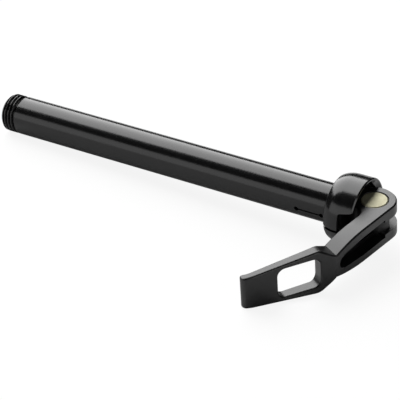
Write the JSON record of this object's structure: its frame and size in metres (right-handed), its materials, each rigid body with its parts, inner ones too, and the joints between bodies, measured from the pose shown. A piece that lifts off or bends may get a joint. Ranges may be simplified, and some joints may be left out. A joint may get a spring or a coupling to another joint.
{
  "type": "bicycle thru axle",
  "caption": "Hollow bicycle thru axle: threaded tip, cupped head with a drive notch, and a cam lever on a cross barrel that draws an expander cone into the slit shaft.",
  "frame": {"origin": "on the axle's axis, in the plane of the flat seat under the head", "axes": "+X along the axle towards the head and lever, +Z along the lever's pivot, the closed lever pointing to -Y"},
  "size_m": [0.1713, 0.0758, 0.0266],
  "materials": {
    "anodised_axle": "semi-gloss black anodised",
    "anodised_lever": "satin black anodised",
    "shoe_plastic": "matte black moulded",
    "steel": "turned steel",
    "spring_steel": "drawn spring wire",
    "brass": "turned and polished"
  },
  "bodies": {
    "axle": {"axle_body": "anodised_axle"},
    "swivel": {"cam_shoe": "shoe_plastic"},
    "draw": {"draw_rod": "steel", "expander_cone": "steel", "cam_barrel": "brass", "release_spring": "spring_steel"},
    "lever": {"lever": "anodised_lever"}
  },
  "joints": [
    {"name": "axle_swivel", "type": "hinge", "parent": "axle", "child": "swivel", "pos_m": [0.0045, 0, 0], "axis": [1, 0, 0], "continuous": true},
    {"name": "draw_slide", "type": "slide", "parent": "swivel", "child": "draw", "axis": [1, 0, 0], "range_m": [-0.001, 0], "deforming": ["release_spring"]},
    {"name": "lever_pivot", "type": "hinge", "parent": "draw", "child": "lever", "pos_m": [0.0151, 0, 0], "axis": [0, 0, 1], "range_deg": [0, 110]}
  ],
  "couplings": [
    {"joint": "draw_slide", "follows": "lever_pivot", "m_per_rad": -0.00052085}
  ]
}
